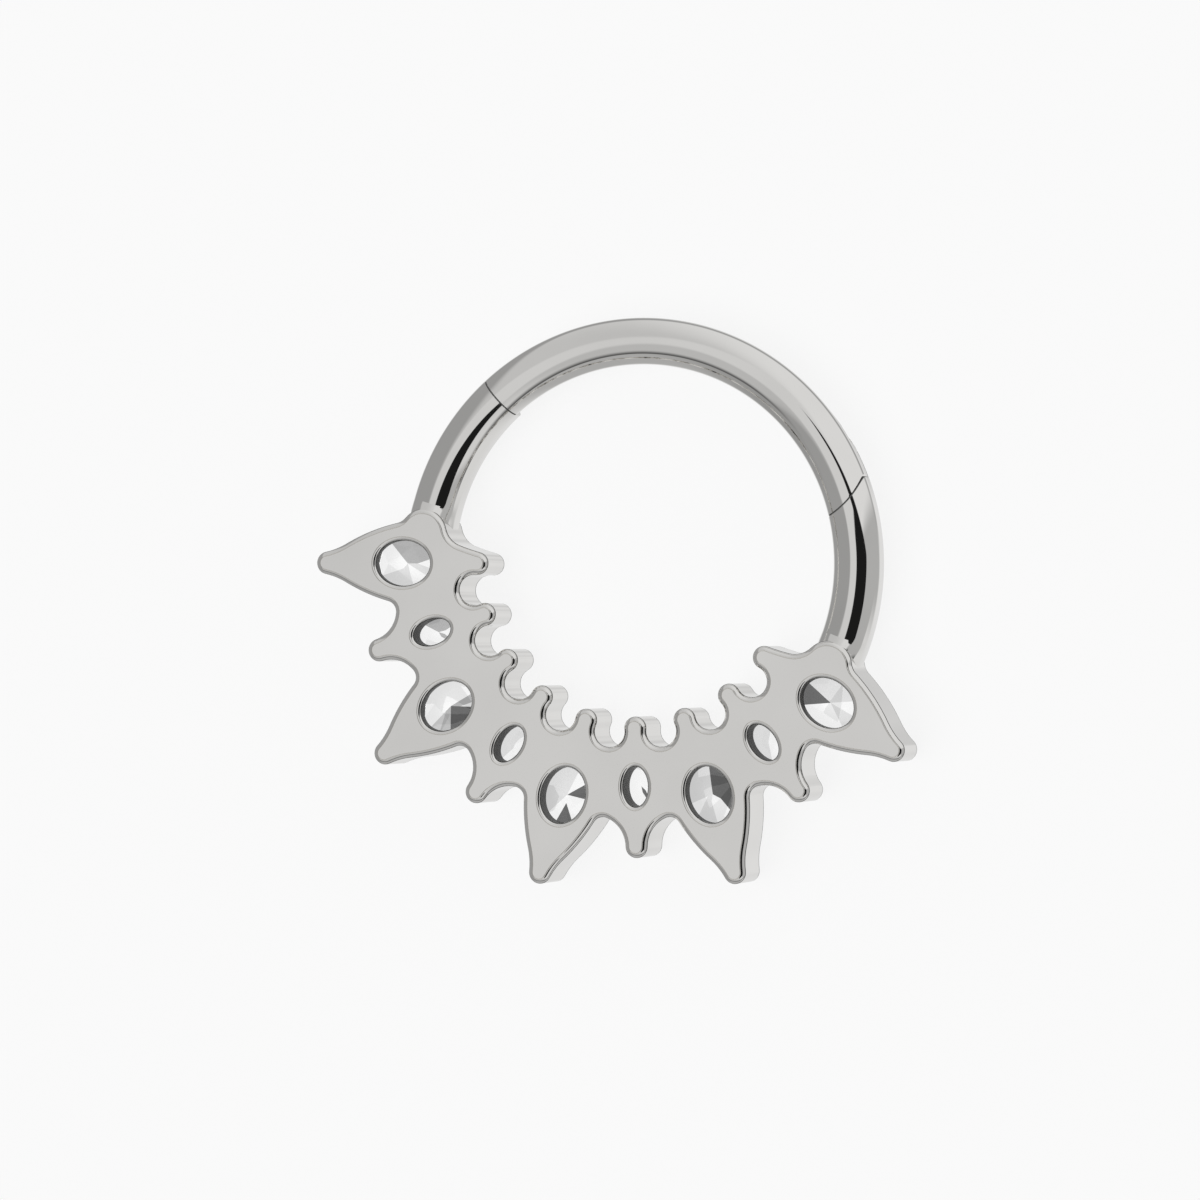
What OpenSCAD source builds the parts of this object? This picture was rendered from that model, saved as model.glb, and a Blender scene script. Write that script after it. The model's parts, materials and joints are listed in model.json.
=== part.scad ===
// Hinged clicker ring with a pierced, stone-set plate, millimetres.
// It lies on its decorated face with the polished back of the plate up.

/* [Tube] */
// Radius of the tube's centre line
tube_centre_r = 5.6; // [5.5:0.05:5.7]
// Radius of the round tube
tube_r = 0.585; // [0.56:0.005:0.6]
// Extra depth of the body's tube towards the front
tube_extra_depth = 0.3; // [0.26:0.01:0.34]

/* [Plate] */
// Height of the plate's polished back above the tube's centre line
plate_back_z = 0.71; // [0.68:0.01:0.8]
// Thickness of the plate
plate_t = 1.46; // [1.4:0.01:1.5]
// Angle from one stone to the next
pitch = 18.22; // [18.1:0.02:18.3]
// Distance of the large points' tips from the ring's centre
large_tip = 8.385; // [8.25:0.005:8.5]
// Distance of the small points' tips from the ring's centre
small_tip = 7.335; // [7.28:0.005:7.4]
// Rounding radius of the points and the nubs
tip_r = 0.285; // [0.27:0.005:0.3]
// Distance of the nubs' tips from the ring's centre
nub_tip = 3.81; // [3.78:0.005:3.84]

/* [Stones] */
// Distance of the large stones from the ring's centre
large_stone_dist = 6.065; // [6:0.005:6.12]
// Distance of the small stones from the ring's centre
small_stone_dist = 5.557; // [5.5:0.005:5.6]
// Gap between a stone's girdle and its pocket
girdle_gap = 0.005; // [0.005:0.005:0.02]
// Radius of a prong
prong_r = 0.14; // [0.12:0.01:0.15]
// Height of the prongs above the plate's front
prong_h = 0.29; // [0.25:0.01:0.4]

/* [Hinge] */
// Angle of the hinge from the top of the ring
hinge_angle = 44.5; // [44:0.1:45]
// Angle of the closing seam from the top of the ring
closing_angle = 58.2; // [56:0.1:60]
// Width of the seams
seam = 0.04; // [0.03:0.005:0.05]
// Radius of the hinge pin
pin_r = 0.2; // [0.18:0.01:0.22]
// Radial clearance of the pin in the tongue
pin_clearance = 0.02; // [0.015:0.005:0.03]

/* [Hidden] */
$fn = 96;
arc_step = 13;
arc_chord = 0.2;
bore_sides = 48;
seat_sides = 32;

metal = [0.8, 0.79, 0.78];
glass = [0.9, 0.95, 1, 0.5];
eps = 0.01;
far = 20;
front_z = plate_back_z - plate_t;
tube_low_z = -tube_r - tube_extra_depth;
outer_r = tube_centre_r + tube_r;

// The origin is on the floor, under the middle of the ring's outline
lift = prong_h - front_z;
shift_y = (large_tip - outer_r) / 2;

// Arcs of the outline as a station sees them: across, outwards, radius
large_point = [0, large_tip - tip_r, tip_r];
small_point = [0, small_tip - tip_r, tip_r];
nub = [0, nub_tip + tip_r, tip_r];
swell = [-3.714, 5.197, 4.844];
large_hollow_r = 1.885;
small_hollow_r = 0.785;

// Valleys between the points: distance out, angle from the large point, radius
valley_dist = 6.65;
valley_angle = 10.685;
valley_r = 0.281;
// Notches between the nubs
notch_dist = 4.232;

// Rounded lobe that ends the plate, as the last station sees it
lobe_dist = 5.56;
lobe_angle = 8.9;
lobe_r = 0.62;
lobe = lobe_dist * [sin(lobe_angle), cos(lobe_angle)];
outer_fillet_r = 0.3;
inner_fillet_r = 0.22;
end_side_r = 6;
end_side_angle = -21.8;

// Stones: half the bore, half the girdle (each across and outwards), height of the culet
large_cut = [[0.6, 0.77], [0.8, 1], 0.28];
small_cut = [[0.4, 0.57], [0.54, 0.71], 0.12];
girdle_z = -0.4;
girdle_t = 0.05;
crown_ratio = 0.375;
table_ratio = 0.56;
crown_break = 0.79;
pavilion_break = 0.22;
seat_steps = 3;
prong_overhang = 0.06;
prong_root_z = girdle_z - girdle_t - 0.1;

// Hinge: a tongue of the body between two cheeks of the segment
pivot = tube_centre_r * [sin(hinge_angle), cos(hinge_angle)];
seam_centre = [3.5, 3.68];
seam_r = 1.35;
near_cheek_z = -0.15;
far_cheek_z = -0.52;
layer_gap = 0.02;
tongue_w = 1.08;
tongue_end_r = 0.55;
slot_r = tube_r + seam;
slot_reach = 3;
slot_half_w = 1;
deepening_angle = 35;
deepening_steps = 3;
deepening_run = 3;
segment_end_angle = 62;
stub_start_angle = 50;
pin_low_z = tube_low_z + 0.035;
pin_top_z = 0.15;

// Point given across and outwards from the station at an angle from the bottom
function at(a, p) = p[0] * [cos(a), sin(a)] + p[1] * [sin(a), -cos(a)];
function mirrored(p, m) = [m * p[0], p[1]];
function bearing(v) = atan2(v[1], v[0]);

// The crossing of two circles that lies left of the way from p to q
function crossing(p, pr, q, qr) =
  let (d = norm(q - p), e = (q - p) / d)
  let (along = (pr * pr - qr * qr + d * d) / (2 * d))
  p + along * e + sqrt(pr * pr - along * along) * [-e[1], e[0]];

// Arcs of the outline: centre, radius, and 1 where the metal bulges or -1 where it is hollow
function bulge(a, m, arc) = [at(a, mirrored(arc, m)), arc[2], 1];
function dip(a, m, centre, r) = [at(a, mirrored(centre, m)), r, -1];

function large_hollow(a, m) =
  dip(a, m, crossing([0, large_point[1]], tip_r + large_hollow_r,
    [swell[0], swell[1]], swell[2] + large_hollow_r), large_hollow_r);

function small_hollow(a, m) =
  dip(a, m, crossing([0, small_point[1]], tip_r + small_hollow_r,
    valley_dist * [sin(pitch - valley_angle), cos(pitch - valley_angle)],
    small_hollow_r - valley_r), small_hollow_r);

function valley(a, m) =
  dip(a, m, valley_dist * [sin(valley_angle), cos(valley_angle)], valley_r);

function notch(a) =
  let (c = notch_dist * [sin(pitch / 2), cos(pitch / 2)])
  dip(a, 1, c, norm(c - [nub[0], nub[1]]) - tip_r);

function large_station(a) = [
  bulge(a, -1, swell), large_hollow(a, -1), bulge(a, 1, large_point),
  large_hollow(a, 1), bulge(a, 1, swell)];

function small_station(a) = [
  valley(a - pitch, 1), small_hollow(a, -1), bulge(a, 1, small_point),
  small_hollow(a, 1), valley(a + pitch, -1)];

// The end of the plate: outer fillet, lobe, inner fillet and the straight side of the last nub
function plate_end(a, m) =
  let (side = [nub[0], nub[1]] + (tip_r + end_side_r) * [cos(end_side_angle), sin(end_side_angle)])
  [
    dip(a, m, crossing([swell[0], swell[1]], swell[2] + outer_fillet_r,
      lobe, lobe_r + outer_fillet_r), outer_fillet_r),
    [at(a, mirrored(lobe, m)), lobe_r, 1],
    dip(a, m, crossing(side, end_side_r - inner_fillet_r,
      lobe, lobe_r + inner_fillet_r), inner_fillet_r),
    dip(a, m, side, end_side_r)];

// Where one arc of the outline meets the next
function meeting(a, b) =
  a[2] != b[2] ? a[0] + (b[0] - a[0]) * a[1] / (a[1] + b[1])
  : a[1] > b[1] ? a[0] + (b[0] - a[0]) * a[1] / norm(b[0] - a[0])
  : b[0] + (a[0] - b[0]) * b[1] / norm(a[0] - b[0]);

// Points along one arc: anticlockwise round a bulge, clockwise round a hollow
function arc_points(last, arc, next) =
  let (from = bearing(meeting(last, arc) - arc[0]))
  let (turn = bearing(meeting(arc, next) - arc[0]) - from)
  let (sweep = arc[2] > 0 ? (turn + 720) % 360 : -((720 - turn) % 360))
  let (n = ceil(max(abs(sweep) / arc_step, abs(sweep) * PI / 180 * arc[1] / arc_chord)))
  [for (i = [0 : n - 1]) arc[0] + arc[1] * [cos(from + sweep * i / n), sin(from + sweep * i / n)]];

function outline_arcs() =
  let (left = plate_end(-4 * pitch, -1), right = plate_end(4 * pitch, 1))
  [
    left[0],
    for (k = [-4 : 4]) each k % 2 == 0 ? large_station(k * pitch) : small_station(k * pitch),
    each right,
    for (k = [4 : -1 : -4]) each k > -4
      ? [bulge(k * pitch, 1, nub), notch((k - 1) * pitch)]
      : [bulge(k * pitch, 1, nub)],
    left[3], left[2], left[1]];

function outline() =
  let (arcs = outline_arcs(), n = len(arcs))
  [for (i = [0 : n - 1]) each arc_points(arcs[(i + n - 1) % n], arcs[i], arcs[(i + 1) % n])];

function oval(half, sides) =
  [for (i = [0 : sides - 1]) [half[0] * cos(i * 360 / sides), half[1] * sin(i * 360 / sides)]];

// Cut of one stone: its settings, and its distance from the ring's centre
function cut_of(k) = k % 2 == 0 ? large_cut : small_cut;
function dist_of(k) = k % 2 == 0 ? large_stone_dist : small_stone_dist;

module place() {
  translate([0, shift_y, lift]) children();
}

module at_station(k) {
  rotate([0, 0, k * pitch]) translate([0, -dist_of(k), 0]) children();
}

module prism(z0, z1) {
  translate([0, 0, z0]) linear_extrude(z1 - z0) children();
}

// Tube section, deepened towards the front; angles run anticlockwise from the right
module tube_section(depth) {
  translate([tube_centre_r, 0]) circle(tube_r);
  if (depth > 0) {
    translate([tube_centre_r, -depth]) circle(tube_r);
    translate([tube_centre_r - tube_r, -depth]) square([2 * tube_r, depth]);
  }
}

module tube(from, to, depth) {
  rotate([0, 0, from]) rotate_extrude(angle = to - from) tube_section(depth);
}

// Bore for the light, and the stepped seat under the stone's girdle
module stone_pocket(cut) {
  bore = cut[0];
  girdle = cut[1];
  narrowing = 1 - bore[0] / girdle[0];
  prism(front_z - far, plate_back_z + eps) polygon(oval(bore, bore_sides));
  for (i = [1 : seat_steps]) {
    shrink = 1 - narrowing * (i - 1) / seat_steps;
    step_z = girdle_z + (cut[2] - girdle_z) * narrowing * i / seat_steps;
    prism(front_z - far, step_z)
      polygon(oval(girdle * shrink + [girdle_gap, girdle_gap], seat_sides));
  }
}

module prongs(cut) {
  low_z = front_z - prong_h + prong_r;
  for (a = [45 : 90 : 315]) {
    x = (cut[1][0] + prong_overhang) * cos(a);
    y = (cut[1][1] + prong_overhang) * sin(a);
    translate([x, y, low_z]) sphere(prong_r);
    translate([x, y, low_z]) cylinder(h = prong_root_z - low_z, r = prong_r);
  }
}

// Round bar of the hinge: it runs from inside the stub to its rounded end at the pivot
module tongue() {
  low_z = far_cheek_z + layer_gap;
  height = near_cheek_z - far_cheek_z - 2 * layer_gap;
  rotate([0, 0, 90 - segment_end_angle]) rotate_extrude(angle = segment_end_angle - hinge_angle)
    translate([tube_centre_r - tongue_w / 2, low_z]) square([tongue_w, height]);
  translate([pivot[0], pivot[1], low_z]) cylinder(h = height, r = tongue_end_r);
}

module right_stub() {
  difference() {
    tube(4 * pitch + lobe_angle - 90, 90 - stub_start_angle, tube_extra_depth);
    translate([seam_centre[0], seam_centre[1], -far / 2]) cylinder(h = far, r = seam_r + seam);
  }
}

module ring_body() {
  closing_gap = seam / tube_centre_r * 180 / PI;
  color(metal) place() {
    difference() {
      union() {
        prism(front_z, plate_back_z) polygon(outline());
        tube(90 + closing_angle + closing_gap, 270 - 4 * pitch - lobe_angle, tube_extra_depth);
        right_stub();
        tongue();
      }
      for (k = [-4 : 4]) at_station(k) stone_pocket(cut_of(k));
      translate([pivot[0], pivot[1], -far / 2]) cylinder(h = far, r = pin_r + pin_clearance);
    }
    for (k = [-4 : 4]) at_station(k) prongs(cut_of(k));
  }
}

// Room that the tongue sweeps in the segment as it opens
module tongue_slot() {
  translate([pivot[0], pivot[1], 0]) rotate([0, 0, 180 - hinge_angle]) prism(far_cheek_z, near_cheek_z) {
    circle(slot_r);
    translate([-slot_reach, -slot_half_w]) square([slot_reach, 2 * slot_half_w]);
    translate([-eps, -slot_half_w]) square([slot_r + eps, slot_half_w]);
  }
}

// Round tubes side by side in depth: each deeper one starts nearer the hinge
module segment_tube() {
  tube(90 - segment_end_angle, 90 + closing_angle, 0);
  for (i = [1 : deepening_steps]) {
    start = deepening_angle + (i - 1) * deepening_run;
    translate([0, 0, -tube_extra_depth * i / deepening_steps])
      tube(90 - segment_end_angle, 90 - start, 0);
  }
}

// What lies past the round seam at the hinge
module past_seam() {
  difference() {
    rotate([0, 0, 90 - stub_start_angle]) translate([0, -far, -far / 2]) cube(far);
    translate([seam_centre[0], seam_centre[1], -far]) cylinder(h = 2 * far, r = seam_r);
  }
}

module clicker_segment() {
  color(metal) place() difference() {
    segment_tube();
    past_seam();
    tongue_slot();
    translate([pivot[0], pivot[1], pin_top_z - far]) cylinder(h = far, r = pin_r);
  }
}

module hinge_pin() {
  color(metal) place() translate([pivot[0], pivot[1], pin_low_z])
    cylinder(h = pin_top_z - pin_low_z, r = pin_r);
}

// Brilliant-cut oval: culet up, table down, eight mains each side
module cut_stone(k) {
  half = cut_of(k)[1];
  culet_z = cut_of(k)[2];
  low_z = girdle_z - girdle_t;
  crown = crown_ratio * half[0];
  rise = (culet_z - girdle_z) * (1 - pavilion_break * cos(22.5));
  drop = crown * (1 - crown_break * cos(22.5)) / (1 - table_ratio);
  // Rings of points: count, first angle, ratio to the girdle, height
  rings = [
    [8, 0, pavilion_break, girdle_z + rise],
    [16, 0, 1, girdle_z],
    [16, 0, 1, low_z],
    [8, 0, crown_break, low_z - drop],
    [8, 22.5, table_ratio, low_z - crown]];
  points = [[0, 0, culet_z], for (r = rings) for (i = [0 : r[0] - 1])
    let (a = r[1] + i * 360 / r[0]) [half[0] * r[2] * cos(a), half[1] * r[2] * sin(a), r[3]]];
  function upper(i) = 1 + i % 8;
  function girdle(i) = 9 + i % 16;
  function under(i) = 25 + i % 16;
  function middle(i) = 41 + i % 8;
  function table(i) = 49 + i % 8;
  faces = [
    for (j = [0 : 7]) [0, upper(j + 1), girdle(2 * j + 1), upper(j)],
    for (j = [0 : 7]) [upper(j + 1), girdle(2 * j + 2), girdle(2 * j + 1)],
    for (j = [0 : 7]) [upper(j), girdle(2 * j + 1), girdle(2 * j)],
    for (i = [0 : 15]) [girdle(i), girdle(i + 1), under(i + 1), under(i)],
    for (j = [0 : 7]) [middle(j), under(2 * j), under(2 * j + 1)],
    for (j = [0 : 7]) [middle(j + 1), under(2 * j + 1), under(2 * j + 2)],
    for (j = [0 : 7]) [middle(j), under(2 * j + 1), middle(j + 1), table(j)],
    for (j = [0 : 7]) [table(j), middle(j + 1), table(j + 1)],
    [for (j = [0 : 7]) table(j)]];
  color(glass) place() at_station(k) polyhedron(points, faces, convexity = 2);
}

module large_stone_1() { cut_stone(-4); }
module large_stone_2() { cut_stone(-2); }
module large_stone_3() { cut_stone(0); }
module large_stone_4() { cut_stone(2); }
module large_stone_5() { cut_stone(4); }
module small_stone_1() { cut_stone(-3); }
module small_stone_2() { cut_stone(-1); }
module small_stone_3() { cut_stone(1); }
module small_stone_4() { cut_stone(3); }

ring_body();
clicker_segment();
hinge_pin();
large_stone_1();
large_stone_2();
large_stone_3();
large_stone_4();
large_stone_5();
small_stone_1();
small_stone_2();
small_stone_3();
small_stone_4();
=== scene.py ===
import json
from math import atan2, ceil, cos, degrees, radians, sin, sqrt, tau

import bmesh
import bpy
from mathutils import Matrix, Vector

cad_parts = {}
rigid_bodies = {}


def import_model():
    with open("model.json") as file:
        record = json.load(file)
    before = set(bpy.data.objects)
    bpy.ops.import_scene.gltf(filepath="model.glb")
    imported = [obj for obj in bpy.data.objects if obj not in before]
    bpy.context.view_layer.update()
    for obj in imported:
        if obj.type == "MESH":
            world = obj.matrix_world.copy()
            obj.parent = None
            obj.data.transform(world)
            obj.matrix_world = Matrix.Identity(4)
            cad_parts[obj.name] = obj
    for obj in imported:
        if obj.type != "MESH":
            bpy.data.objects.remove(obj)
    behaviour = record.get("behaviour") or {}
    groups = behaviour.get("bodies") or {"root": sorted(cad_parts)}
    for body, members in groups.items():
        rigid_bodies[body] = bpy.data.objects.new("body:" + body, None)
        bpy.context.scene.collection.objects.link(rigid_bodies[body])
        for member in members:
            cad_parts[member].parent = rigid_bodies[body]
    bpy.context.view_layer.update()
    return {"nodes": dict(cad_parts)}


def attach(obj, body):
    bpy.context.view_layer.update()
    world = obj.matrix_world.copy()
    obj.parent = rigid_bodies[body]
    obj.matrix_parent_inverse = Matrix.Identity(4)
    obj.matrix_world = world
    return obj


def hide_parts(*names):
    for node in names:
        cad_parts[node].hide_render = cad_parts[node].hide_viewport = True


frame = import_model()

# Hinged clicker ring lying on a pale studio floor, polished back up.
# Shapes are modelled in millimetres round the ring's centre and set down in the frame at the end.

ringCentre = Vector((0, 1.1, 1.04))
toFrame = Matrix.Scale(0.001, 4) @ Matrix.Translation(ringCentre)
upAxis = Vector((0, 0, 1))
sharpAngle = 17     # degrees: an edge that turns by more stays sharp
hair = 0.001        # so much longer, a cutter's face meets no other
beyond = 10         # well past the ring on every side


def fromTop(angle):
    # the direction at so many degrees clockwise from the top of the ring
    return Vector((sin(radians(angle)), cos(radians(angle)), 0))


def newEdges(bm, make):
    # runs make and gives the edges that it added
    known = set(bm.edges)
    make()
    return [e for e in bm.edges if e not in known]


# paintedShade 1 gives the walls the dark steel of painted shade, 0 the polish
def bridge(bm, loops, paintedShade=0):
    # smooth walls between neighbouring closed loops
    for a, b in zip(loops, loops[1:]):
        for face in bmesh.ops.bridge_loops(bm, edges=a + b)["faces"]:
            face.smooth = True
            face.material_index = paintedShade


def fillFlat(bm, loops):
    # a flat face between closed loops, the inner ones left open
    made = bmesh.ops.triangle_fill(bm, use_beauty=True, edges=[e for loop in loops for e in loop])["geom"]
    for face in (g for g in made if isinstance(g, bmesh.types.BMFace)):
        face.smooth = False


def makeObject(bm, name):
    bmesh.ops.remove_doubles(bm, verts=bm.verts[:], dist=1e-5)
    bmesh.ops.recalc_face_normals(bm, faces=bm.faces[:])
    mesh = bpy.data.meshes.new(name)
    bm.to_mesh(mesh)
    bm.free()
    obj = bpy.data.objects.new(name, mesh)
    bpy.context.scene.collection.objects.link(obj)
    return obj


def carve(obj, shapes, operation="DIFFERENCE"):
    # cuts the shapes out of obj, or welds them on, and throws them away
    for shape in shapes:
        mod = obj.modifiers.new("carve", "BOOLEAN")
        mod.operation, mod.solver, mod.object = operation, "EXACT", shape
    made = bpy.data.meshes.new_from_object(obj.evaluated_get(bpy.context.evaluated_depsgraph_get()))
    obj.modifiers.clear()
    obj.data = made
    for shape in shapes:
        bpy.data.objects.remove(shape)
    return obj


def darken(obj):
    # paints all its faces with the second material, the dark painted shade
    for poly in obj.data.polygons:
        poly.material_index = 1
    return obj


def joinPieces(name, parts):
    # one object out of several, set down in the frame, with its real edges kept sharp
    bm = bmesh.new()
    for part in parts:
        bm.from_mesh(part.data)
        bpy.data.objects.remove(part)
    for edge in bm.edges:
        edge.smooth = not (len(edge.link_faces) == 2 and edge.calc_face_angle(0) > radians(sharpAngle))
    bmesh.ops.transform(bm, matrix=toFrame, verts=bm.verts[:])
    mesh = bpy.data.meshes.new(name)
    bm.to_mesh(mesh)
    bm.free()
    obj = bpy.data.objects.new(name, mesh)
    bpy.context.scene.collection.objects.link(obj)
    return obj


def post(place, r, z0, z1, sides=64):
    # an upright round rod
    bm = bmesh.new()
    bmesh.ops.create_cone(bm, cap_ends=True, segments=sides, radius1=r, radius2=r, depth=z1 - z0,
                          matrix=Matrix.Translation((place[0], place[1], (z0 + z1) / 2)))
    return makeObject(bm, "post")


# The plate and its outline: arcs with a centre, a radius, and 1 for a bulge or -1 for a hollow

plate = {
    "backZ": 0.71, "frontZ": -0.75, "pitch": 18.22,
    "largeTip": 8.385, "smallTip": 7.335, "tipR": 0.285, "nubTip": 3.81,
    "swell": (-3.714, 5.197), "swellR": 4.844,
    "largeHollowR": 1.885, "smallHollowR": 0.785,
    "valleyDist": 6.65, "valleyAngle": 10.685, "valleyR": 0.281,
    "notchDist": 4.232,
    "lobeDist": 5.6, "lobeAngle": 7.7, "lobeR": 0.62,
    "outerFilletR": 0.42, "innerFilletR": 0.6,
    "sideR": 6.0, "sideAngle": -15.0,
    "rim": 0.105, "rimSteps": 8, "rimPower": 1.35, "steepSteps": 2,
    "frontRim": 0.05, "frontSteps": 4, "wallTop": 0.02, "wallFoot": 0.03,
    "border": 0.024, "scribe": 0.02,
    "arcStep": 8, "arcChord": 0.13,
}

setting = {
    "large": {"dist": 6.065, "bore": (0.57, 0.715), "girdle": (0.8, 1.0)},
    "small": {"dist": 5.557, "bore": (0.32, 0.5), "girdle": (0.54, 0.71)},
    "rim": 0.085, "around": 64, "girdleZ": -0.4, "gap": 0.005,
    "lipZ": (0.46, 0.15, 0.4, 0.1, 0.2, 0.08, 0.32, 0.11, 0.36),
    "prongR": 0.14, "prongReach": 0.29, "prongOverhang": 0.06, "prongTop": -0.55,
    "prongAround": 24, "prongRings": 16,
}


def acrossOut(dist, angle):
    # across and outward, as a station sees a place at this distance from the ring's centre
    return Vector((sin(radians(angle)), cos(radians(angle)))) * dist


def crossing(p, pr, q, qr):
    # where two circles cross, left of the way from p to q
    p, q = Vector(p), Vector(q)
    d = (q - p).length
    e = (q - p) / d
    along = (pr * pr - qr * qr + d * d) / (2 * d)
    return p + along * e + sqrt(pr * pr - along * along) * Vector((-e.y, e.x))


def outlineArcs():
    # the arcs in order: along the points from left to right, and back along the nubs
    p, pitch, tipR = plate, plate["pitch"], plate["tipR"]
    largePoint, smallPoint = (0, p["largeTip"] - tipR), (0, p["smallTip"] - tipR)
    nub = (0, p["nubTip"] + tipR)
    valley = acrossOut(p["valleyDist"], p["valleyAngle"])
    nextValley = acrossOut(p["valleyDist"], pitch - p["valleyAngle"])
    largeHollow = crossing(largePoint, tipR + p["largeHollowR"], p["swell"], p["swellR"] + p["largeHollowR"])
    smallHollow = crossing(smallPoint, tipR + p["smallHollowR"], nextValley, p["smallHollowR"] - p["valleyR"])
    notch = acrossOut(p["notchDist"], pitch / 2)
    notchR = (notch - Vector(nub)).length - tipR
    lobe = acrossOut(p["lobeDist"], p["lobeAngle"])
    side = Vector(nub) + acrossOut(tipR + p["sideR"], 90 - p["sideAngle"])
    outerFillet = crossing(p["swell"], p["swellR"] + p["outerFilletR"], lobe, p["lobeR"] + p["outerFilletR"])
    innerFillet = crossing(side, p["sideR"] - p["innerFilletR"], lobe, p["lobeR"] + p["innerFilletR"])

    def arc(angle, flip, centre, r, kind):
        # an arc of the station at this angle, or with flip -1 its mirror image there
        turned = Matrix.Rotation(radians(angle), 2) @ Vector((centre[0] * flip, -centre[1]))
        return turned, r, kind

    def largeStation(a):
        return [arc(a, -1, p["swell"], p["swellR"], 1), arc(a, -1, largeHollow, p["largeHollowR"], -1),
                arc(a, 1, largePoint, tipR, 1),
                arc(a, 1, largeHollow, p["largeHollowR"], -1), arc(a, 1, p["swell"], p["swellR"], 1)]

    def smallStation(a):
        return [arc(a - pitch, 1, valley, p["valleyR"], -1), arc(a, -1, smallHollow, p["smallHollowR"], -1),
                arc(a, 1, smallPoint, tipR, 1),
                arc(a, 1, smallHollow, p["smallHollowR"], -1), arc(a + pitch, -1, valley, p["valleyR"], -1)]

    def plateEnd(a, flip):
        return [arc(a, flip, outerFillet, p["outerFilletR"], -1), arc(a, flip, lobe, p["lobeR"], 1),
                arc(a, flip, innerFillet, p["innerFilletR"], -1), arc(a, flip, side, p["sideR"], -1)]

    left, right = plateEnd(-4 * pitch, -1), plateEnd(4 * pitch, 1)
    arcs = [left[0]]
    for k in range(-4, 5):
        arcs += smallStation(k * pitch) if k % 2 else largeStation(k * pitch)
    arcs += right
    for k in range(4, -5, -1):
        arcs.append(arc(k * pitch, 1, nub, tipR, 1))
        if k > -4:
            arcs.append(arc((k - 1) * pitch, 1, notch, notchR, -1))
    return arcs + [left[3], left[2], left[1]]


def meeting(a, b):
    # where one arc runs into the next
    (ca, ra, ka), (cb, rb, kb) = a, b
    if ka != kb:
        return ca + (cb - ca) * ra / (ra + rb)
    if ra > rb:
        return ca + (cb - ca).normalized() * ra
    return cb + (ca - cb).normalized() * rb


def outlineSweeps():
    # each arc with the bearing it starts at, the angle it turns through and its steps
    arcs, sweeps = outlineArcs(), []
    for i, (centre, r, kind) in enumerate(arcs):
        start = meeting(arcs[i - 1], arcs[i]) - centre
        end = meeting(arcs[i], arcs[(i + 1) % len(arcs)]) - centre
        begin = atan2(start.y, start.x)
        turn = (atan2(end.y, end.x) - begin) % tau
        if kind < 0:
            turn -= tau
        steps = ceil(max(abs(turn) / radians(plate["arcStep"]), abs(turn) * r / plate["arcChord"]))
        sweeps.append((centre, r, kind, begin, turn, steps))
    return sweeps


def outlineChain(bm, sweeps, inset, z):
    # the plate's outline drawn in by inset: a point swung round one arc after the other
    # gives its edges, and for each point which way is out
    centre, r, kind, begin, _, _ = sweeps[0]
    start = centre + (r - kind * inset) * Vector((cos(begin), sin(begin)))
    outward = {}

    def swing():
        first = last = bm.verts.new((start.x, start.y, z))
        for centre, _, kind, _, turn, steps in sweeps:
            known = set(bm.verts)
            swung = bmesh.ops.spin(bm, geom=[last], cent=(centre.x, centre.y, z), axis=upAxis,
                                   angle=turn, steps=steps)["geom_last"]
            last = next(g for g in swung if isinstance(g, bmesh.types.BMVert))
            for v in set(bm.verts) - known:
                outward[v] = (v.co - Vector((centre.x, centre.y, z))).normalized() * kind
        outward[first] = outward.pop(last)
        bmesh.ops.pointmerge(bm, verts=[first, last], merge_co=first.co)
    return newEdges(bm, swing), outward


# paintedShade 1 gives the new walls the dark steel of painted shade, 0 the polish
def nextLevel(bm, edges, outward, grow, z, paintedShade=0):
    # walls from the last loop to the next one, which stands out by grow and lies at z
    made = bmesh.ops.extrude_edge_only(bm, edges=edges)["geom"]
    last = dict(outward)
    outward.clear()
    for v in (g for g in made if isinstance(g, bmesh.types.BMVert)):
        below = next(e.other_vert(v) for e in v.link_edges if e.other_vert(v) in last)
        outward[v] = last[below]
        v.co += outward[v] * grow
        v.co.z = z
    for face in (g for g in made if isinstance(g, bmesh.types.BMFace)):
        face.smooth = True
        face.material_index = paintedShade
    return [g for g in made if isinstance(g, bmesh.types.BMEdge) and all(v in outward for v in g.verts)]


def ovalLoop(bm, k, half, z):
    # an oval round station k
    kind = setting["small" if k % 2 else "large"]
    place = Matrix.Rotation(radians(k * plate["pitch"]), 4, "Z") @ Matrix.Translation((0, -kind["dist"], z))
    place = place @ Matrix.Diagonal((half[0], half[1], 1, 1))
    return newEdges(bm, lambda: bmesh.ops.create_circle(bm, segments=setting["around"], radius=1,
                                                        matrix=place))


def rimProfile(r, steps, power=1.0):
    # inset and drop of a rim, from the flat face to the wall
    # at power 1 it is round, and above that more like a chamfer
    turns = [radians(90) * i / steps for i in range(steps + 1)]
    return [(r * (1 - sin(t) ** power), r * (1 - abs(cos(t)) ** power)) for t in turns]


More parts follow.
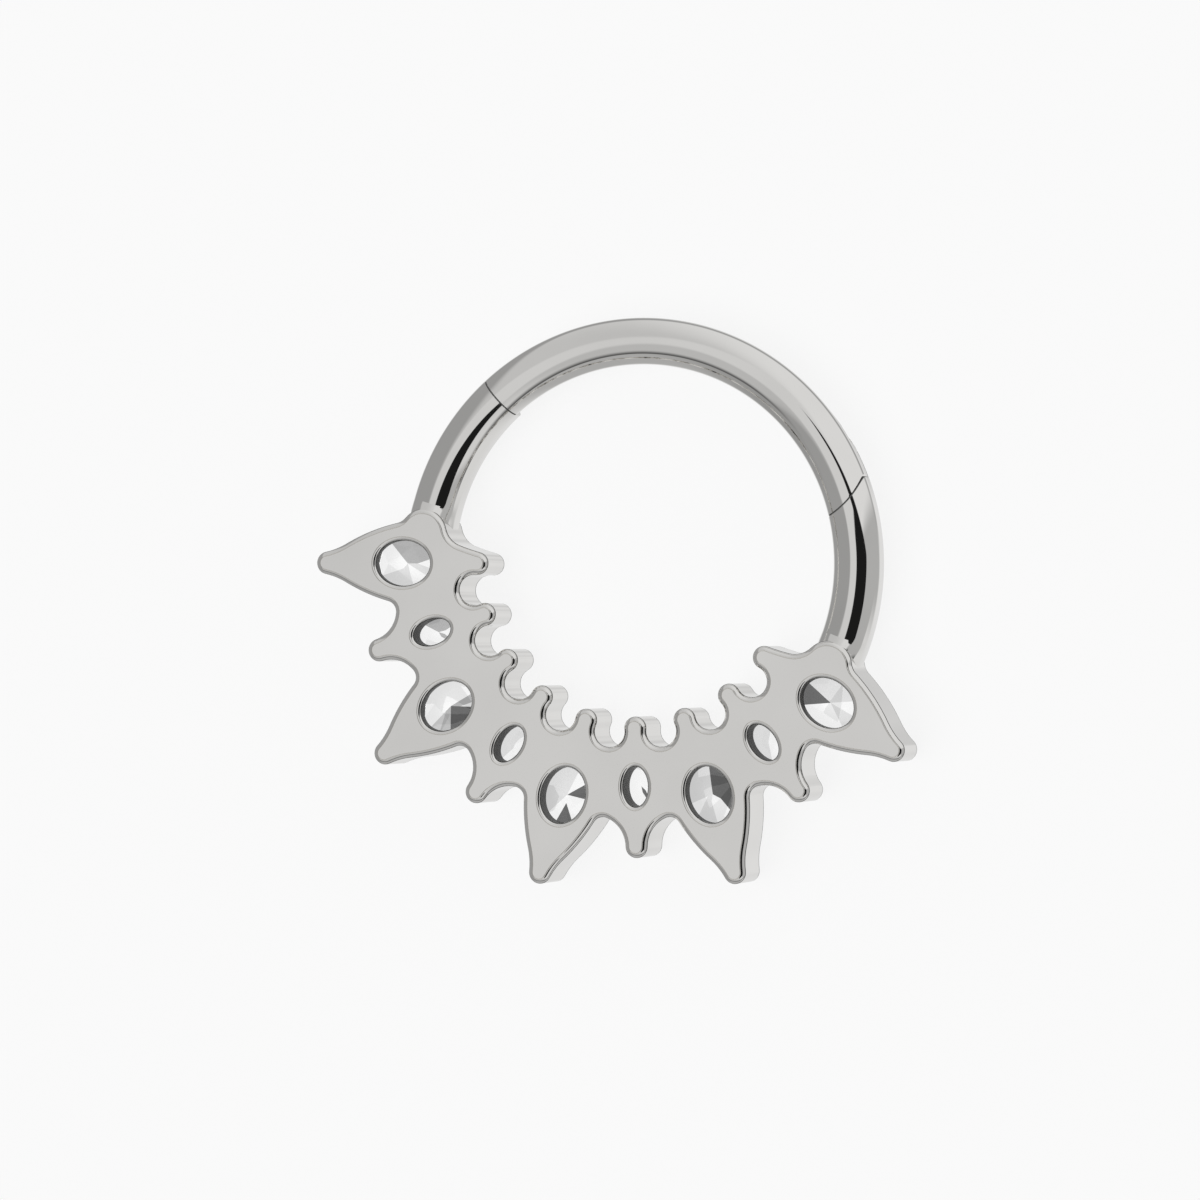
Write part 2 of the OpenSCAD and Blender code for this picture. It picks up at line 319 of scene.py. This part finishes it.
def makePlate():
    bm = bmesh.new()
    p, back, front = plate, plate["backZ"], plate["frontZ"]
    backLoops, frontLoops = [], []
    # The holes: a scribed line, the rim, the lip, and under it the wider pocket of the stone
    for k in range(-4, 5):
        kind = setting["small" if k % 2 else "large"]
        (boreX, boreY), (girdleX, girdleY) = kind["bore"], kind["girdle"]
        ovals = [(setting["rim"] + p["border"], back), (setting["rim"] + p["border"] / 2, back - p["scribe"])]
        ovals += [(inset, back - drop) for inset, drop in rimProfile(setting["rim"], p["rimSteps"])]
        rim = [ovalLoop(bm, k, (boreX + grow, boreY + grow), z) for grow, z in ovals]
        lip = ovalLoop(bm, k, kind["bore"], setting["lipZ"][k + 4])
        pocket = (girdleX + setting["gap"], girdleY + setting["gap"])
        seat, mouth = (ovalLoop(bm, k, pocket, z) for z in (setting["girdleZ"], front))
        steep = p["steepSteps"]
        bridge(bm, rim[:-steep])
        # painted shade: the steep end of the rim, the lip and the pocket walls get the dark steel, for the
        # shade inside the hole
        bridge(bm, rim[-steep - 1:] + [lip, seat, mouth], paintedShade=1)
        backLoops.append(rim[0])
        frontLoops.append(mouth)
    # The outline: a scribed line, the rim, the wall and the front rim, as how far in and how high
    levels = [(p["rim"] + p["border"] / 2, back - p["scribe"])]
    levels += [(inset, back - drop) for inset, drop in rimProfile(p["rim"], p["rimSteps"], p["rimPower"])]
    # painted shade: the steepest rim steps and a thin band at the foot of the wall get the dark steel, as
    # dark shade lines along the edges
    dark = range(len(levels) - p["steepSteps"], len(levels))
    levels.append((0, levels[-1][1] - p["wallTop"]))     # keeps the rest of the wall's shading straight
    levels.append((0, front + p["frontRim"] + p["wallFoot"]))
    dark = [*dark, len(levels)]
    levels += [(inset, front + drop) for inset, drop in reversed(rimProfile(p["frontRim"], p["frontSteps"]))]
    levels.append((p["frontRim"] + p["border"], front))
    inset = p["rim"] + p["border"]
    edges, outward = outlineChain(bm, outlineSweeps(), inset, back)
    backLoops.append(edges)
    for i, (nextInset, z) in enumerate(levels):
        edges = nextLevel(bm, edges, outward, inset - nextInset, z, paintedShade=1 if i in dark else 0)
        inset = nextInset
    frontLoops.append(edges)
    fillFlat(bm, backLoops)
    fillFlat(bm, frontLoops)
    return makeObject(bm, "plate")


def makeProngs():
    # four round-ended prongs for each stone, the rounded ends down
    bm = bmesh.new()
    low = plate["frontZ"] - setting["prongReach"] + setting["prongR"]
    rise = setting["prongTop"] - low - setting["prongR"]
    for k in range(-4, 5):
        kind = setting["small" if k % 2 else "large"]
        turned = Matrix.Rotation(radians(k * plate["pitch"]), 4, "Z")
        station = turned @ Matrix.Translation((0, -kind["dist"], 0))
        for corner in range(45, 360, 90):
            x = (kind["girdle"][0] + setting["prongOverhang"]) * cos(radians(corner))
            y = (kind["girdle"][1] + setting["prongOverhang"]) * sin(radians(corner))
            ball = bmesh.ops.create_uvsphere(bm, u_segments=setting["prongAround"],
                                             v_segments=setting["prongRings"],
                                             radius=setting["prongR"])["verts"]
            bmesh.ops.translate(bm, verts=[v for v in ball if v.co.z > 1e-4], vec=(0, 0, rise))
            bmesh.ops.transform(bm, verts=ball, matrix=station @ Matrix.Translation((x, y, low)))
    for face in bm.faces:
        face.smooth = True
    return makeObject(bm, "prongs")


# The tube: round at the back, and on the body's side deepened towards the front

tube = {
    "centreR": 5.6, "r": 0.585, "depth": 0.3, "around": 72, "step": 1.0,
    "closingAngle": 58.2, "seam": 0.04, "seamShadeDrop": 0.022, "seamShadeGap": 0.008, "seamShadeBack": 2,
    "seamCentre": (3.5, 3.68), "seamR": 1.35, "seamAround": 256, "cutReach": 4,
    "stubStart": 50, "segmentEnd": 62,
    "deepenFrom": 33, "deepenTo": 45,
    "collarFrom": 91.5, "collarTo": 94.4, "collarEnd": 97.5, "collarRise": 0.115,
}

hinge = {
    "angle": 44.5, "nearCheek": -0.15, "farCheek": -0.52, "layerGap": 0.02,
    "tongueWidth": 1.08, "tongueEndR": 0.55,
    "slotHalf": 1.0, "slotReach": 3.0, "slotBack": 0.3, "slotAround": 128,
    "pinR": 0.2, "pinTop": 0.15, "clearance": 0.02,
}


def seamPost(gap):
    # what the round seam by the hinge goes round, wider by gap
    reach = tube["cutReach"]
    return post(tube["seamCentre"], tube["seamR"] + gap, -reach, reach, tube["seamAround"])


def sweepTube(name, start, end, depthAt, r=tube["r"]):
    # a closed length of tube between two angles; depthAt gives how far its front half is let down
    bm = bmesh.new()
    out = fromTop(start)
    section = Matrix.Identity(4)
    section.col[0], section.col[1], section.col[2] = out.to_4d(), upAxis.to_4d(), out.cross(upAxis).to_4d()
    for i in range(3):
        section.col[i][3] = 0
    section = Matrix.Translation(out * tube["centreR"]) @ section
    first = newEdges(bm, lambda: bmesh.ops.create_circle(bm, segments=tube["around"], radius=r,
                                                         matrix=section))
    swept = bmesh.ops.spin(bm, geom=first + bm.verts[:], cent=(0, 0, 0), axis=-upAxis,
                           angle=radians(end - start), steps=ceil(abs(end - start) / tube["step"]))
    last = [g for g in swept["geom_last"] if isinstance(g, bmesh.types.BMEdge)]
    for face in bm.faces:
        face.smooth = True
    for loop in (first, last):
        for face in bmesh.ops.edgeloop_fill(bm, edges=loop)["faces"]:
            face.smooth = False
    for v in bm.verts:
        angle = degrees(atan2(v.co.x, v.co.y))
        rising = (abs(angle) - tube["collarFrom"]) / (tube["collarTo"] - tube["collarFrom"])
        falling = (tube["collarEnd"] - abs(angle)) / (tube["collarEnd"] - tube["collarTo"])
        if v.co.z > 0:
            v.co.z *= 1 + tube["collarRise"] / tube["r"] * max(min(rising, falling), 0)
        if v.co.z < -1e-6:
            v.co.z -= depthAt(angle)
    return makeObject(bm, name)


def makeLeftStub():
    gap = degrees(tube["seam"] / tube["centreR"])
    inPlate = 180 - 4 * plate["pitch"] - plate["lobeAngle"]
    return sweepTube("leftStub", -tube["closingAngle"] - gap, -inPlate, lambda a: tube["depth"])


def makeRightStub():
    inPlate = 180 - 4 * plate["pitch"] - plate["lobeAngle"]
    stub = sweepTube("rightStub", tube["stubStart"], inPlate, lambda a: tube["depth"])
    return carve(stub, [seamPost(tube["seam"])])


def makeSeamShades():
    # painted shade: dark sheets in both seams, a little below the polish, so that no light shows through and
    # the gaps look black
    r, close = tube["r"] - tube["seamShadeDrop"], tube["seamShadeGap"]
    left = sweepTube("leftSeamShade", -tube["closingAngle"] - degrees(close / tube["centreR"]),
                     -tube["closingAngle"] - tube["seamShadeBack"], lambda a: 0, r)
    right = sweepTube("rightSeamShade", tube["stubStart"], tube["segmentEnd"], lambda a: tube["depth"], r)
    return [left, carve(right, [seamPost(close)])]


def hingeBar(reachFrom, reachTo, halfWidth, z0, z1):
    # a flat bar that follows the tube's centre line from one angle back to the other
    bm = bmesh.new()
    out = fromTop(reachFrom)
    corners = [bm.verts.new(out * (tube["centreR"] + x) + upAxis * z)
               for x, z in ((-halfWidth, z0), (halfWidth, z0), (halfWidth, z1), (-halfWidth, z1))]
    face = bm.faces.new(corners)
    bmesh.ops.spin(bm, geom=[face], cent=(0, 0, 0), axis=upAxis,
                   angle=radians(reachFrom - reachTo), steps=ceil((reachFrom - reachTo) / tube["step"]))
    bmesh.ops.recalc_face_normals(bm, faces=bm.faces[:])
    return makeObject(bm, "bar")


def makeTongue():
    # the body's half of the hinge, which lies between the segment's cheeks
    pivot = fromTop(hinge["angle"]) * tube["centreR"]
    z0, z1 = hinge["farCheek"] + hinge["layerGap"], hinge["nearCheek"] - hinge["layerGap"]
    bar = hingeBar(tube["segmentEnd"], hinge["angle"], hinge["tongueWidth"] / 2, z0, z1)
    carve(bar, [post(pivot, hinge["tongueEndR"], z0 - hair, z1 + hair)], "UNION")
    return carve(bar, [post(pivot, hinge["pinR"] + hinge["clearance"], -tube["cutReach"], tube["cutReach"])])


def makeSegment():
    # the part of the tube that swings, with its end cut round and slotted for the tongue
    def depthAt(angle):
        t = min(max((angle - tube["deepenFrom"]) / (tube["deepenTo"] - tube["deepenFrom"]), 0), 1)
        return tube["depth"] * t * t * (3 - 2 * t)

    segment = sweepTube("segment", -tube["closingAngle"], tube["segmentEnd"], depthAt)
    pivot = fromTop(hinge["angle"]) * tube["centreR"]
    turned = Matrix.Translation(pivot) @ Matrix.Rotation(radians(180 - hinge["angle"]), 4, "Z")

    def block(x0, x1, y0, y1, z0, z1, place):
        bm = bmesh.new()
        middle = Matrix.Translation(((x0 + x1) / 2, (y0 + y1) / 2, (z0 + z1) / 2))
        size = Matrix.Diagonal((x1 - x0, y1 - y0, z1 - z0, 1))
        bmesh.ops.create_cube(bm, size=1, matrix=place @ middle @ size)
        return makeObject(bm, "block")

    # What lies past the round seam
    pastSeam = Matrix.Rotation(radians(90 - tube["stubStart"]), 4, "Z")
    past = block(0, 2 * beyond, -2 * beyond, 0, -beyond, beyond, pastSeam)
    carve(past, [post(tube["seamCentre"], tube["seamR"], -beyond - 2, beyond + 2, tube["seamAround"])])
    # Room for the tongue
    slotR = tube["r"] + tube["seam"]
    z0, z1 = hinge["farCheek"], hinge["nearCheek"]
    half = hinge["slotHalf"]
    slot = block(-hinge["slotReach"], 0, -half, half, z0, z1, turned)
    heel = block(-hinge["slotBack"], slotR, -half, 0, z0 + hair, z1 - hair, turned)
    carve(slot, [post(pivot, slotR, z0 - hair, z1 + hair, hinge["slotAround"]), heel], "UNION")
    bore = post(pivot, hinge["pinR"], -2 * tube["cutReach"], hinge["pinTop"])
    return carve(segment, [past, slot, bore])


# the seam shades are darkened: painted shade in the seam gaps
tubeParts = [makeLeftStub(), makeRightStub(), makeTongue()] + [darken(seamShade) for seamShade in makeSeamShades()]
ringBody = joinPieces("ringBody", [makePlate(), makeProngs()] + tubeParts)
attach(ringBody, "body")
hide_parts("ring_body")
print("ring body:", len(ringBody.data.polygons), "faces")

segment = joinPieces("clickerSegment", [makeSegment()])
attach(segment, "segment")
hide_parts("clicker_segment")
print("segment:", len(segment.data.polygons), "faces")


# Shader maths: a socket that can be added, multiplied and so on

class Wire:
    def __init__(self, graph, out):
        self.graph, self.out = graph, out

    def maths(self, operation, *values):
        return self.graph.wire("ShaderNodeMath", 0, {"operation": operation}, dict(enumerate(values)))

    def __add__(self, other): return self.maths("ADD", self, other)
    def __radd__(self, other): return self.maths("ADD", other, self)
    def __sub__(self, other): return self.maths("SUBTRACT", self, other)
    def __rsub__(self, other): return self.maths("SUBTRACT", other, self)
    def __mul__(self, other): return self.maths("MULTIPLY", self, other)
    def __rmul__(self, other): return self.maths("MULTIPLY", other, self)
    def __truediv__(self, other): return self.maths("DIVIDE", self, other)
    def __rtruediv__(self, other): return self.maths("DIVIDE", other, self)

    def step(self, low, high):
        # 0 below low, 1 above high, soft in between
        return self.graph.wire("ShaderNodeMapRange", 0, {"interpolation_type": "SMOOTHSTEP"},
                               {"Value": self, "From Min": low, "From Max": high})


class Graph:
    def __init__(self, tree):
        self.tree = tree
        tree.nodes.clear()

    def add(self, kind, settings=None, inputs=None):
        # a node of any kind, with its settings and then the values or links of its sockets
        node = self.tree.nodes.new(kind)
        for key, value in (settings or {}).items():
            setattr(node, key, value)
        for key, value in (inputs or {}).items():
            if isinstance(value, Wire):
                self.tree.links.new(value.out, node.inputs[key])
            elif isinstance(value, bpy.types.NodeSocket):
                self.tree.links.new(value, node.inputs[key])
            else:
                node.inputs[key].default_value = value
        return node

    def wire(self, kind, output=0, settings=None, inputs=None):
        return Wire(self, self.add(kind, settings, inputs).outputs[output])

    def dot(self, vector, direction):
        return self.wire("ShaderNodeVectorMath", "Value", {"operation": "DOT_PRODUCT"},
                         {0: vector, 1: direction})

    def noise(self, scale, detail):
        place = self.wire("ShaderNodeTexCoord", "Object")
        return self.wire("ShaderNodeTexNoise", "Fac", None,
                         {"Vector": place, "Scale": scale, "Detail": detail})

    def blend(self, factor, a, b):
        return self.wire("ShaderNodeMix", 2, {"data_type": "RGBA"}, {0: factor, 6: a, 7: b})


def newMaterial(name):
    material = bpy.data.materials.new(name)
    material.use_nodes = True
    return material, Graph(material.node_tree)


# The scales are in waves a metre, so 1000 is about a millimetre
metalLook = {
    "tint": (0.905, 0.895, 0.875, 1), "worn": (0.87, 0.86, 0.84, 1),
    "polish": 0.035, "haze": 0.05, "cloud": 350,
    "grain": 9000, "grainDepth": 0.001, "ripple": 900, "rippleDepth": 0.015,
    "bump": 0.05, "bumpHeight": 0.0001,
}


def makeMetal():
    # polished steel: faint clouds where the polish is hazy, a hand's ripple and a very fine grain
    material, g = newMaterial("polishedSteel")
    look = metalLook
    cloud, ripple, grain = g.noise(look["cloud"], 3), g.noise(look["ripple"], 1), g.noise(look["grain"], 4)
    colour = g.blend(cloud.step(0.35, 0.75), look["tint"], look["worn"])
    roughness = look["polish"] + look["haze"] * cloud.step(0.4, 0.8) * grain
    height = ripple * look["rippleDepth"] + grain * look["grainDepth"]
    bump = g.wire("ShaderNodeBump", 0, None,
                  {"Strength": look["bump"], "Distance": look["bumpHeight"], "Height": height})
    shader = g.add("ShaderNodeBsdfPrincipled", None,
                   {"Base Color": colour, "Metallic": 1.0, "Roughness": roughness, "Normal": bump})
    g.add("ShaderNodeOutputMaterial", None, {"Surface": shader.outputs[0]})
    return material


# Painted shade: the dark tint below stands in for the shade in the seams, the holes and along the plate's
# edges
paintedShadeLook = {
    "tint": (0.13, 0.13, 0.127, 1), "roughness": 0.42, "uneven": 0.1,
    "metallic": 0.2, "specular": 0.1, "grain": 5000,
}


def makePaintedShadeSteel():
    # painted shade: a darker, duller steel inside the seams and the stones' holes, and in the fine dark lines
    # of the plate, standing in for the shade there
    material, g = newMaterial("paintedShadeSteel")
    look = paintedShadeLook
    roughness = look["roughness"] + look["uneven"] * g.noise(look["grain"], 3)
    shader = g.add("ShaderNodeBsdfPrincipled", None,
                   {"Base Color": look["tint"], "Metallic": look["metallic"],
                    "Specular IOR Level": look["specular"], "Roughness": roughness})
    g.add("ShaderNodeOutputMaterial", None, {"Surface": shader.outputs[0]})
    return material


stoneLook = {
    "tones": {"white": 0.98, "pale": 0.77, "grey": 0.45, "dark": 0.12}, "edge": 2.0,
    "haze": 2500, "hazeTone": 0.02, "hazeInside": 0.01, "hazeOutside": 0.03,
    "clearIor": 1.06, "clearness": 0.18, "ior": 1.5, "body": 0.22, "paintedGlow": 0.84,
}

# Painted reflections: the facets of each stone painted darker, for what they would reflect: bearing on the
# stone, how far to each side, tone
paintedFacetShades = {
    "large_stone_1": [(157.5, 50, "grey"), (325, 30, "pale"), (60, 18, "pale")],
    "small_stone_1": [(157.5, 55, "grey"), (22.5, 6, "grey")],
    "large_stone_2": [(355, 45, "dark"), (292, 12, "grey"), (75, 20, "grey")],
    "small_stone_2": [(146, 90, "pale")],
    "large_stone_3": [(147, 70, "pale"), (22.5, 14, "dark"), (270, 14, "dark")],
    "small_stone_3": [(292.5, 6, "dark")],
    "large_stone_4": [(22.5, 60, "dark"), (315, 20, "dark"), (135, 40, "pale"), (225, 20, "pale")],
    "small_stone_4": [(118, 95, "pale")],
    "large_stone_5": [(45, 40, "pale"), (112.5, 14, "dark"), (337.5, 14, "pale"), (248, 14, "pale")],
}


def makeStone(name, station):
    # a cut stone: each facet has one painted tone, from the way that it faces on the stone
    # most of it comes from the surface, which glows with that tone as painted light, and the rest is what
    # shows through
    material, g = newMaterial("clear_" + name)
    look = stoneLook
    halfX, halfY = setting["small" if "small" in name else "large"]["girdle"]
    facing = g.wire("ShaderNodeVectorMath", 0, {"operation": "MULTIPLY"},
                    {0: g.wire("ShaderNodeTexCoord", "Normal"), 1: (1, 1, 0)})
    level = g.wire("ShaderNodeVectorMath", 0, {"operation": "NORMALIZE"}, {0: facing})
    haze = g.noise(look["haze"], 2)
    tone = look["tones"]["white"] + look["hazeTone"] * haze
    for bearing, spread, shade in paintedFacetShades[name]:
        way = Vector((cos(radians(bearing)) / halfX, sin(radians(bearing)) / halfY, 0)).normalized()
        way.rotate(Matrix.Rotation(radians(station * plate["pitch"]), 3, "Z"))
        mask = g.dot(level, tuple(way)).step(cos(radians(spread + look["edge"])), cos(radians(spread)))
        tone = tone + (look["tones"][shade] - tone) * mask
    colour = g.blend(1.0, (0, 0, 0, 1), tone)
    inside = g.add("ShaderNodeBsdfPrincipled", None,
                   {"Base Color": colour, "Roughness": haze * look["hazeInside"], "IOR": look["clearIor"],
                    "Transmission Weight": 1.0})
    dim = g.blend(1.0, (0, 0, 0, 1), tone * look["body"])
    # painted light: the surface glows with the facet's tone
    surface = g.add("ShaderNodeBsdfPrincipled", None,
                    {"Base Color": dim, "Roughness": haze * look["hazeOutside"], "IOR": look["ior"],
                     "Emission Color": colour, "Emission Strength": look["paintedGlow"]})
    both = g.add("ShaderNodeMixShader", None,
                 {0: look["clearness"], 1: surface.outputs[0], 2: inside.outputs[0]})
    g.add("ShaderNodeOutputMaterial", None, {"Surface": both.outputs[0]})
    return material


def dress(obj, *materials):
    for material in materials:
        obj.data.materials.append(material)


# the second material is painted shade, the dark steel of the seams, the holes and the edge lines
steel, paintedShadeSteel = makeMetal(), makePaintedShadeSteel()
dress(ringBody, steel, paintedShadeSteel)
dress(segment, steel, paintedShadeSteel)
stones = {}     # the station of each stone
for k in range(-4, 5):
    size, number = ("small", (k + 5) // 2) if k % 2 else ("large", (k + 6) // 2)
    stones[size + "_stone_" + str(number)] = k
for name, node in frame["nodes"].items():
    for slot in node.material_slots:
        slot.link = "OBJECT"
        slot.material = makeStone(name, stones[name]) if name in stones else steel
print("materials: polished and painted shade steel, clear stones")


# The floor, the light and the camera

studio = {
    "cameraPlace": (35.659, 8.991, 125.059),     # from the ring's centre, mm
    "cameraRight": (0.9125, 0.2894, -0.2891),
    "cameraUp": (-0.2995, 0.9540, 0.0097),
    "cameraBack": (0.2786, 0.0778, 0.9572),
    "lens": 155.997, "filmWidth": 36, "clip": (0.01, 10),
    "floorHalf": 1.5, "floorGlow": 0.868, "floorTint": 0.1, "floorTooth": 4000, "floorRoughness": (0.6, 0.8),
    "paper": 0.956,
    "sunPower": 1.4, "sunSpread": 50, "sunTilt": (18, -14),
}

# The room: for each wall the grey that it gives in the polished metal, and its soft sides.
# A side adds up shares of the camera's right, up and back along a ray, and goes from 0 to 1 between two
# values. "ray" takes the sum as it is, "round" counts only the bearing round the lens, and "card" is a place
# on a flat card that faces the ring. The notch is cut out of the card.
room = {
    "downLeft": (180, []),
    "downRight": (204, [("round", (1, 0, 0), -0.3, 0.6)]),
    "upLeft": (188, [("round", (0, 1, 0), -0.2, 0.1)]),
    "upRight": (213, [("round", (1, 0, 0), -0.7, 0.4)]),
    "left": (150, [("ray", (-1, -1.05, -0.7), -0.05, 0.12), ("ray", (-1, 1.25, -0.75), -0.05, 0.12)]),
    "right": (170, [("round", (1, 0, 0), 0.7, 0.85), ("round", (0, -1, 0), -0.36, -0.21)]),
    "near": (201, [("ray", (0, 0, 1), 0.76, 0.83), ("ray", (-1, 0, 0), -0.2, 0.1)]),
    "behindUp": (148, [("ray", (0, 1, 0), 0.05, 0.3), ("ray", (0, 0, -1), 0.5, 0.7),
                       ("ray", (0, 0, 1), -0.88, -0.78)]),
    "behindRight": (216, [("ray", (0, 0, -1), 0.6, 0.78), ("round", (1, 0, 0), 0.7, 0.85),
                          ("round", (0, -1, 0), -0.2, -0.05)]),
    "farRight": (216, [("ray", (0, 0, -1), 0.78, 0.84), ("round", (1, 0, 0), 0.7, 0.85),
                       ("round", (0, -1, 0), -0.4, -0.25)]),
    "tableEdge": (84, [("ray", (-0.06, -0.439, -0.896), -0.154, 0.146), ("round", (0, -1, 0), 0.35, 0.6)]),
    "tableTop": (146, [("ray", (-0.06, -0.439, -0.896), 0.166, 0.206), ("round", (0, -1, 0), 0.1, 0.4)]),
    "tableLeft": (167, [("round", (1, 0, 0), -0.8, -0.3)]),
    "tableRight": (211, [("round", (1, 0, 0), 0.3, 0.75)]),
    "behind": (214, [("ray", (0, 0, -1), 0.84, 0.97)]),
    "card": (26, [("ray", (0, 0, 1), 0.05, 0.15), ("card", (1, 0, 0), -0.15, -0.11),
                  ("card", (-1, 0, 0), -0.94, -0.89), ("card", (-0.37, 1, 0), -0.91, -0.87),
                  ("card", (-0.344, -1, 0), -0.425, -0.385), ("card", (0.8, 0.6, 0), -0.42, -0.412)]),
    "notch": (None, [("card", (-0.7, -1, 0), -0.257, -0.227), ("card", (-0.478, 1, 0), 0.127, 0.157)]),
}


def lightOf(grey):
    # the light that shows as this grey in the metal
    return ((grey / 255 + 0.055) / 1.055) ** 2.4 / metalLook["tint"][1]


def makeFloor():
    # pale paper for the camera, evenly lit paper behind the stones, and clear to the metal's reflections
    bm = bmesh.new()
    bmesh.ops.create_grid(bm, x_segments=1, y_segments=1, size=studio["floorHalf"])
    floor = makeObject(bm, "floor")
    material, g = newMaterial("palePaper")
    smooth, rough = studio["floorRoughness"]
    roughness = smooth + (rough - smooth) * g.noise(studio["floorTooth"], 3)
    tint, glow = studio["floorTint"], studio["floorGlow"]
    paper = g.add("ShaderNodeBsdfPrincipled", None,
                  {"Base Color": (tint, tint, tint, 1), "Roughness": roughness, "Specular IOR Level": 0.0,
                   "Emission Color": (1, 1, 1, 1), "Emission Strength": glow})
    rays = g.add("ShaderNodeLightPath")
    lit = g.add("ShaderNodeEmission", None, {"Strength": studio["paper"]})
    clear = g.add("ShaderNodeBsdfTransparent")
    seen = g.add("ShaderNodeMixShader", None,
                 {0: rays.outputs["Is Transmission Ray"], 1: paper.outputs[0], 2: lit.outputs[0]})
    both = g.add("ShaderNodeMixShader", None,
                 {0: rays.outputs["Is Glossy Ray"], 1: seen.outputs[0], 2: clear.outputs[0]})
    g.add("ShaderNodeOutputMaterial", None, {"Surface": both.outputs[0]})
    dress(floor, material)


def makeRoom():
    # soft grey surroundings with a dark card beside the lens, and plain paper behind for the camera
    world = bpy.data.worlds.new("room")
    bpy.context.scene.world = world
    world.use_nodes = True
    g = Graph(world.node_tree)
    ray = g.wire("ShaderNodeTexCoord", "Generated")
    axes = [Vector(studio[k]) for k in ("cameraRight", "cameraUp", "cameraBack")]
    back = g.dot(ray, axes[2])
    aside = 1.0001 - back * back     # a trifle over 1, so that it is never quite nothing
    parts = {"ray": None, "round": aside.maths("SQRT", aside), "card": back}

    def within(name):
        # 1 inside all the sides of a wall
        mask = 1
        for kind, shares, low, high in room[name][1]:
            total = g.dot(ray, sum((share * axis for share, axis in zip(shares, axes)), Vector()))
            mask = mask * (total / parts[kind] if parts[kind] else total).step(low, high)
        return mask

    def over(below, name, light=None):
        return below + ((light or lightOf(room[name][0])) - below) * within(name)

    above = over(lightOf(room["upLeft"][0]), "upRight")
    top = over(over(lightOf(room["tableTop"][0]), "tableLeft"), "tableRight")
    shade = over(lightOf(room["downLeft"][0]), "downRight")
    shade = over(shade, "upLeft", above)
    for name in ("left", "right", "near", "behindUp", "behindRight", "farRight", "tableEdge"):
        shade = over(shade, name)
    shade = over(shade, "tableTop", top)
    shade = over(shade, "behind")
    shade = shade + (lightOf(room["card"][0]) - shade) * within("card") * (1 - within("notch"))
    colour = g.wire("ShaderNodeCombineColor", 0, None, {0: shade, 1: shade, 2: shade})
    around = g.add("ShaderNodeBackground", None, {"Color": colour, "Strength": 1.0})
    paper = g.add("ShaderNodeBackground", None, {"Color": (studio["paper"],) * 3 + (1,), "Strength": 1.0})
    seen = g.wire("ShaderNodeLightPath", "Is Camera Ray")
    both = g.add("ShaderNodeMixShader", None, {0: seen, 1: around.outputs[0], 2: paper.outputs[0]})
    g.add("ShaderNodeOutputWorld", None, {"Surface": both.outputs[0]})


def makeLight():
    lamp = bpy.data.lights.new("softKey", "SUN")
    lamp.energy, lamp.angle = studio["sunPower"], radians(studio["sunSpread"])
    key = bpy.data.objects.new("softKey", lamp)
    key.rotation_euler = (*(radians(tilt) for tilt in studio["sunTilt"]), 0)
    key.visible_glossy = False
    bpy.context.scene.collection.objects.link(key)


def makeCamera():
    lens = bpy.data.cameras.new("camera")
    lens.lens, lens.sensor_width = studio["lens"], studio["filmWidth"]
    lens.clip_start, lens.clip_end = studio["clip"]
    camera = bpy.data.objects.new("camera", lens)
    facing = Matrix([studio[k] for k in ("cameraRight", "cameraUp", "cameraBack")]).transposed()
    place = (Vector(studio["cameraPlace"]) + ringCentre) * 0.001
    camera.matrix_world = Matrix.Translation(place) @ facing.to_4x4()
    bpy.context.scene.collection.objects.link(camera)
    bpy.context.scene.camera = camera


makeFloor()
makeRoom()
makeLight()
makeCamera()
bpy.context.scene.view_settings.view_transform = "Standard"
print("studio: floor, room, key light, camera")
